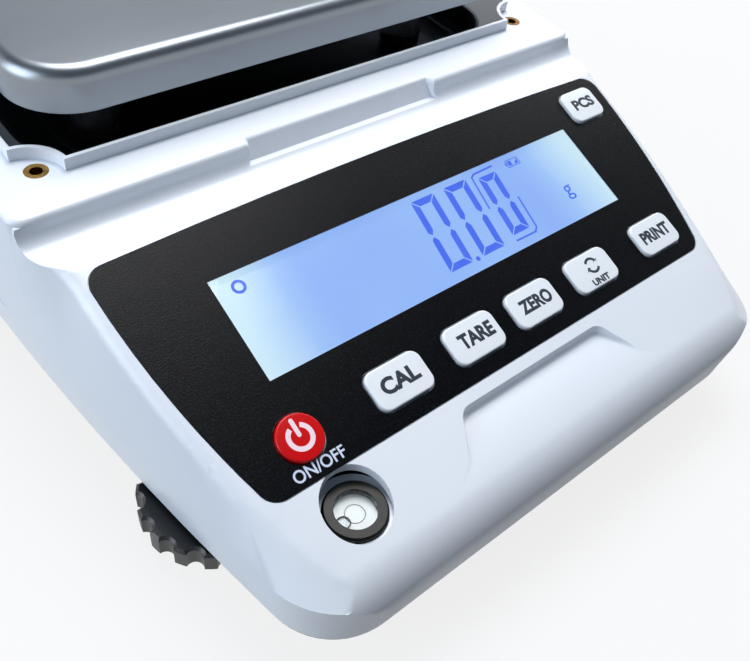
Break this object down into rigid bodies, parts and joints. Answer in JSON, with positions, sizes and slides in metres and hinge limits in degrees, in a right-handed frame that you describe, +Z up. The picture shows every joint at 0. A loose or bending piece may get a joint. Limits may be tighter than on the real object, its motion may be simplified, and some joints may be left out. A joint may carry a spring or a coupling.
{
  "type": "precision balance",
  "caption": "Bench precision balance with a square pan on a raised deck, a sloping keypad console with a lit display, a spirit level and levelling feet.",
  "frame": {"origin": "on the table below the middle of the case", "axes": "+X to the right as the user faces it, +Y to the back, +Z up"},
  "size_m": [0.206, 0.3065, 0.0921],
  "materials": {
    "abs_white": "satin moulded ABS",
    "backlight_white": "white light guide",
    "base_grey": "dark grey moulded ABS",
    "battery_wrap": "blue heat-shrink wrap",
    "board_green": "green circuit board",
    "cable_black": "black cable sheath",
    "cast_aluminium": "cast aluminium",
    "cell_aluminium": "milled aluminium",
    "insert_brass": "brass",
    "key_red": "red moulded key",
    "key_white": "white moulded key",
    "knob_black": "black moulded plastic",
    "lcd_cell": "liquid crystal glass",
    "level_black": "black cup",
    "level_clear": "clear lens over the liquid",
    "level_white": "white target disc",
    "overlay_black": "black printed polyester with a fine sparkle",
    "pad_rubber": "black rubber",
    "pan_steel": "brushed stainless steel",
    "plate_mirror": "polished stainless steel",
    "ribbon_grey": "grey ribbon cable",
    "screw_steel": "zinc plated steel",
    "socket_black": "black moulded socket",
    "switch_black": "black moulded plastic",
    "window_clear": "clear acrylic"
  },
  "bodies": {
    "housing": {"top_case": "abs_white", "bottom_case": "base_grey", "keypad_overlay": "overlay_black", "display_window": "window_clear", "lcd_glass": "lcd_cell", "backlight": "backlight_white", "display_board": "board_green", "board_screws": "screw_steel", "key_switches": "switch_black", "level_cup": "level_black", "level_target": "level_white", "level_lens": "level_clear", "shield_inserts": "insert_brass", "cover_plate": "plate_mirror", "load_cell": "cell_aluminium", "cell_spacer": "screw_steel", "chassis": "cast_aluminium", "cell_screws": "screw_steel", "overload_stop": "screw_steel", "battery_pack": "battery_wrap", "battery_cover": "base_grey", "main_board": "board_green", "main_board_screws": "screw_steel", "display_ribbon": "ribbon_grey", "cell_cable": "cable_black", "power_socket": "socket_black", "serial_socket": "screw_steel", "socket_posts": "screw_steel", "case_screws": "screw_steel", "foot_bushes": "insert_brass", "chassis_bolts": "screw_steel"},
    "cal_button": {"key_cal": "key_white"},
    "tare_button": {"key_tare": "key_white"},
    "zero_button": {"key_zero": "key_white"},
    "unit_button": {"key_unit": "key_white"},
    "print_button": {"key_print": "key_white"},
    "pcs_button": {"key_pcs": "key_white"},
    "power_button": {"key_power": "key_red"},
    "carrier": {"pan_support": "cast_aluminium", "support_pads": "pad_rubber", "pan_post": "cell_aluminium", "post_bolt": "screw_steel", "carrier_bracket": "cell_aluminium", "carrier_screws": "screw_steel"},
    "weighing_pan": {"pan": "pan_steel"},
    "front_left_foot": {"front_left_foot_pad": "pad_rubber"},
    "front_left_knob": {"front_left_foot_knob": "knob_black", "front_left_foot_stud": "screw_steel"},
    "front_right_foot": {"front_right_foot_pad": "pad_rubber"},
    "front_right_knob": {"front_right_foot_knob": "knob_black", "front_right_foot_stud": "screw_steel"},
    "rear_left_foot": {"rear_left_foot_pad": "pad_rubber"},
    "rear_left_knob": {"rear_left_foot_knob": "knob_black", "rear_left_foot_stud": "screw_steel"},
    "rear_right_foot": {"rear_right_foot_pad": "pad_rubber"},
    "rear_right_knob": {"rear_right_foot_knob": "knob_black", "rear_right_foot_stud": "screw_steel"}
  },
  "joints": [
    {"name": "cal_press", "type": "slide", "parent": "housing", "child": "cal_button", "axis": [0, 0.3371, -0.9415], "range_m": [0, 0.0006], "stiffness_N_per_m": 150, "springref_m": -0.0004},
    {"name": "tare_press", "type": "slide", "parent": "housing", "child": "tare_button", "axis": [0, 0.3371, -0.9415], "range_m": [0, 0.0006], "stiffness_N_per_m": 150, "springref_m": -0.0004},
    {"name": "zero_press", "type": "slide", "parent": "housing", "child": "zero_button", "axis": [0, 0.3371, -0.9415], "range_m": [0, 0.0006], "stiffness_N_per_m": 150, "springref_m": -0.0004},
    {"name": "unit_press", "type": "slide", "parent": "housing", "child": "unit_button", "axis": [0, 0.3371, -0.9415], "range_m": [0, 0.0006], "stiffness_N_per_m": 150, "springref_m": -0.0004},
    {"name": "print_press", "type": "slide", "parent": "housing", "child": "print_button", "axis": [0, 0.3371, -0.9415], "range_m": [0, 0.0006], "stiffness_N_per_m": 150, "springref_m": -0.0004},
    {"name": "pcs_press", "type": "slide", "parent": "housing", "child": "pcs_button", "axis": [0, 0.3371, -0.9415], "range_m": [0, 0.0006], "stiffness_N_per_m": 150, "springref_m": -0.0004},
    {"name": "power_press", "type": "slide", "parent": "housing", "child": "power_button", "axis": [0, 0.3371, -0.9415], "range_m": [0, 0.0006], "stiffness_N_per_m": 150, "springref_m": -0.0004},
    {"name": "load_deflection", "type": "slide", "parent": "housing", "child": "carrier", "axis": [0, 0, -1], "range_m": [0, 0.0003], "stiffness_N_per_m": 30000, "springref_m": -0.0002, "deforming": ["load_cell"]},
    {"name": "pan_lift", "type": "slide", "parent": "carrier", "child": "weighing_pan", "axis": [0, 0, 1], "range_m": [0, 0.06]},
    {"name": "front_left_height", "type": "slide", "parent": "housing", "child": "front_left_foot", "axis": [0, 0, 1], "range_m": [-0.005, 0.00125]},
    {"name": "front_left_turn", "type": "hinge", "parent": "front_left_foot", "child": "front_left_knob", "pos_m": [-0.0785, -0.096, 0.0076], "axis": [0, 0, 1], "range_deg": [-1440, 360]},
    {"name": "front_right_height", "type": "slide", "parent": "housing", "child": "front_right_foot", "axis": [0, 0, 1], "range_m": [-0.005, 0.00125]},
    {"name": "front_right_turn", "type": "hinge", "parent": "front_right_foot", "child": "front_right_knob", "pos_m": [0.0785, -0.096, 0.0076], "axis": [0, 0, 1], "range_deg": [-1440, 360]},
    {"name": "rear_left_height", "type": "slide", "parent": "housing", "child": "rear_left_foot", "axis": [0, 0, 1], "range_m": [-0.005, 0.00125]},
    {"name": "rear_left_turn", "type": "hinge", "parent": "rear_left_foot", "child": "rear_left_knob", "pos_m": [-0.0785, 0.125, 0.0076], "axis": [0, 0, 1], "range_deg": [-1440, 360]},
    {"name": "rear_right_height", "type": "slide", "parent": "housing", "child": "rear_right_foot", "axis": [0, 0, 1], "range_m": [-0.005, 0.00125]},
    {"name": "rear_right_turn", "type": "hinge", "parent": "rear_right_foot", "child": "rear_right_knob", "pos_m": [0.0785, 0.125, 0.0076], "axis": [0, 0, 1], "range_deg": [-1440, 360]}
  ],
  "couplings": [
    {"joint": "front_left_height", "follows": "front_left_turn", "m_per_rad": 0.00019894},
    {"joint": "front_right_height", "follows": "front_right_turn", "m_per_rad": 0.00019894},
    {"joint": "rear_left_height", "follows": "rear_left_turn", "m_per_rad": 0.00019894},
    {"joint": "rear_right_height", "follows": "rear_right_turn", "m_per_rad": 0.00019894}
  ]
}
